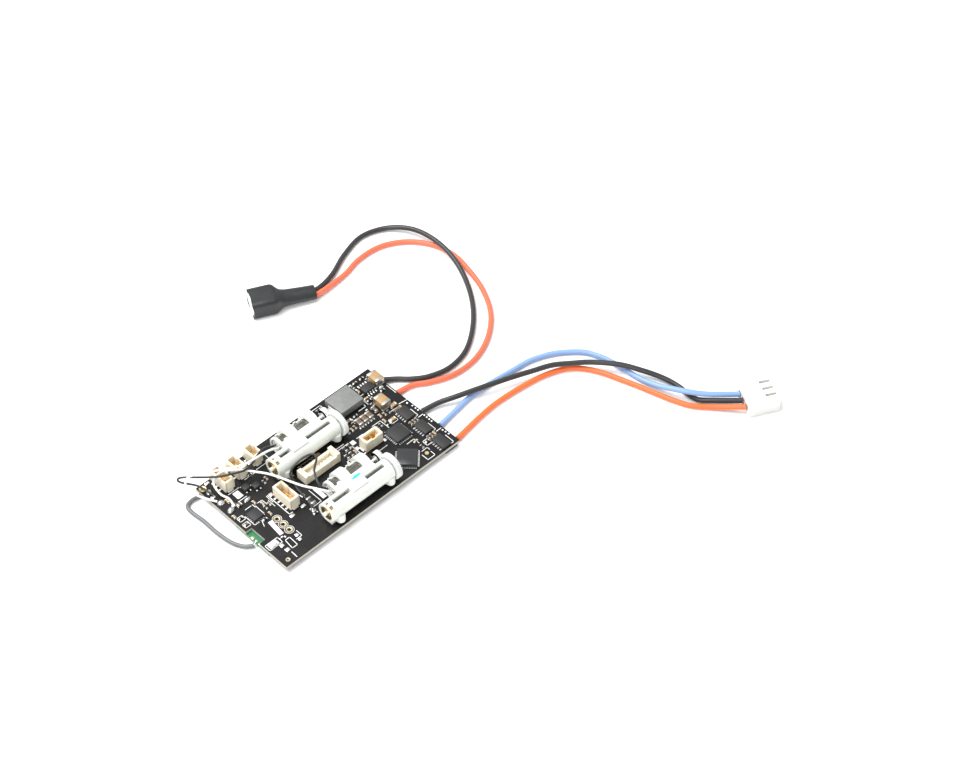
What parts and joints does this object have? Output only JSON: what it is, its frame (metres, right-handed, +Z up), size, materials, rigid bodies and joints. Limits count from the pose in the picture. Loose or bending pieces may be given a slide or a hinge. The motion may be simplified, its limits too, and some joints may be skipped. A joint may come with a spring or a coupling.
{
  "type": "flight controller board",
  "caption": "micro aircraft control board with two geared linear servos moulded onto it, upright wire sockets, a coax aerial, and battery and motor leads ending in plugs",
  "frame": {"origin": "centre of the circuit board in plan, on the surface that the board's lower chips stand on", "axes": "+X along the board's long side, towards the battery and motor leads; +Y along its short side, towards the row of three sockets; +Z up, away from the surface"},
  "size_m": [0.1162, 0.1092, 0.0082],
  "materials": {
    "black_board": "solder mask, half gloss",
    "green_board": "solder mask, half gloss",
    "ferrite": "pressed grey powder, matt",
    "tan_ceramic": "fired ceramic",
    "black_epoxy": "moulded, matt",
    "led_lens": "clear resin on a white base",
    "cream_plastic": "moulded nylon",
    "white_plastic": "moulded, slightly waxy",
    "steel_can": "drawn and plated",
    "brass": "turned",
    "carbon_track": "printed carbon, matt",
    "tinned_contact": "tinned",
    "black_jacket": "soft, half gloss",
    "white_jacket": "soft, half gloss",
    "red_jacket": "soft, half gloss",
    "blue_jacket": "soft, half gloss",
    "orange_jacket": "soft, half gloss",
    "grey_jacket": "soft, half gloss",
    "black_sleeve": "shrunk sleeve, satin"
  },
  "bodies": {
    "board": {"circuit_board": "black_board", "radio_board": "green_board", "power_inductor": "ferrite", "input_capacitor_1": "tan_ceramic", "input_capacitor_2": "tan_ceramic", "smoothing_capacitor_1": "tan_ceramic", "smoothing_capacitor_2": "tan_ceramic", "smoothing_capacitor_3": "tan_ceramic", "battery_switch": "black_epoxy", "motor_driver_1": "black_epoxy", "motor_driver_2": "black_epoxy", "motor_driver_3": "black_epoxy", "low_side_driver_1": "black_epoxy", "low_side_driver_2": "black_epoxy", "motor_controller": "black_epoxy", "flight_processor": "black_epoxy", "gyro_chip": "black_epoxy", "radio_chip": "black_epoxy", "regulator_1": "black_epoxy", "regulator_2": "black_epoxy", "status_led": "led_lens", "sensor_socket": "cream_plastic", "rudder_socket": "cream_plastic", "aileron_socket": "cream_plastic", "flap_socket": "cream_plastic", "aux_socket": "cream_plastic", "programming_socket": "cream_plastic", "servo_1_frame": "white_plastic", "servo_1_motor_cap": "white_plastic", "servo_1_motor": "steel_can", "servo_1_bush": "brass", "servo_1_track": "carbon_track", "servo_1_wire_black": "black_jacket", "servo_1_wire_white": "white_jacket", "servo_2_frame": "white_plastic", "servo_2_motor_cap": "white_plastic", "servo_2_motor": "steel_can", "servo_2_bush": "brass", "servo_2_track": "carbon_track", "servo_2_wire_black": "black_jacket", "servo_2_wire_white": "white_jacket", "battery_wire_black": "black_jacket", "motor_wire_black": "black_jacket", "battery_wire_red": "red_jacket", "motor_wire_blue": "blue_jacket", "motor_wire_orange": "orange_jacket", "antenna_coax": "grey_jacket", "heat_shrink": "black_sleeve", "battery_plug": "white_plastic", "motor_plug": "white_plastic", "battery_contact_1": "tinned_contact", "battery_contact_2": "tinned_contact"},
    "servo_1_screw": {"servo_1_lead_screw": "white_plastic"},
    "servo_1_slider": {"servo_1_slider": "white_plastic", "servo_1_wiper": "brass"},
    "servo_1_pinion": {"servo_1_pinion": "white_plastic"},
    "servo_2_screw": {"servo_2_lead_screw": "white_plastic"},
    "servo_2_slider": {"servo_2_slider": "white_plastic", "servo_2_wiper": "brass"},
    "servo_2_pinion": {"servo_2_pinion": "white_plastic"}
  },
  "joints": [
    {"name": "servo_1_slide", "type": "slide", "parent": "board", "child": "servo_1_slider", "axis": [1, 0, 0], "range_m": [-0.00255, 0.00645]},
    {"name": "servo_1_screw_turn", "type": "hinge", "parent": "board", "child": "servo_1_screw", "pos_m": [0, 0.0053, 0.00505], "axis": [1, 0, 0], "range_deg": [-460, 1162]},
    {"name": "servo_1_pinion_turn", "type": "hinge", "parent": "board", "child": "servo_1_pinion", "pos_m": [0, 0.00967, 0.0042], "axis": [1, 0, 0], "range_deg": [-2431.5, 963.6]},
    {"name": "servo_2_slide", "type": "slide", "parent": "board", "child": "servo_2_slider", "axis": [1, 0, 0], "range_m": [-0.0042, 0.0048]},
    {"name": "servo_2_screw_turn", "type": "hinge", "parent": "board", "child": "servo_2_screw", "pos_m": [0, -0.01195, 0.00505], "axis": [1, 0, 0], "range_deg": [-757, 865]},
    {"name": "servo_2_pinion_turn", "type": "hinge", "parent": "board", "child": "servo_2_pinion", "pos_m": [0, -0.00758, 0.0042], "axis": [1, 0, 0], "range_deg": [-1810.5, 1584.6]}
  ],
  "couplings": [
    {"joint": "servo_1_screw_turn", "follows": "servo_1_slide", "rad_per_m": 3141.6},
    {"joint": "servo_1_pinion_turn", "follows": "servo_1_slide", "rad_per_m": -6568.8},
    {"joint": "servo_2_screw_turn", "follows": "servo_2_slide", "rad_per_m": 3141.6},
    {"joint": "servo_2_pinion_turn", "follows": "servo_2_slide", "rad_per_m": -6568.8}
  ]
}
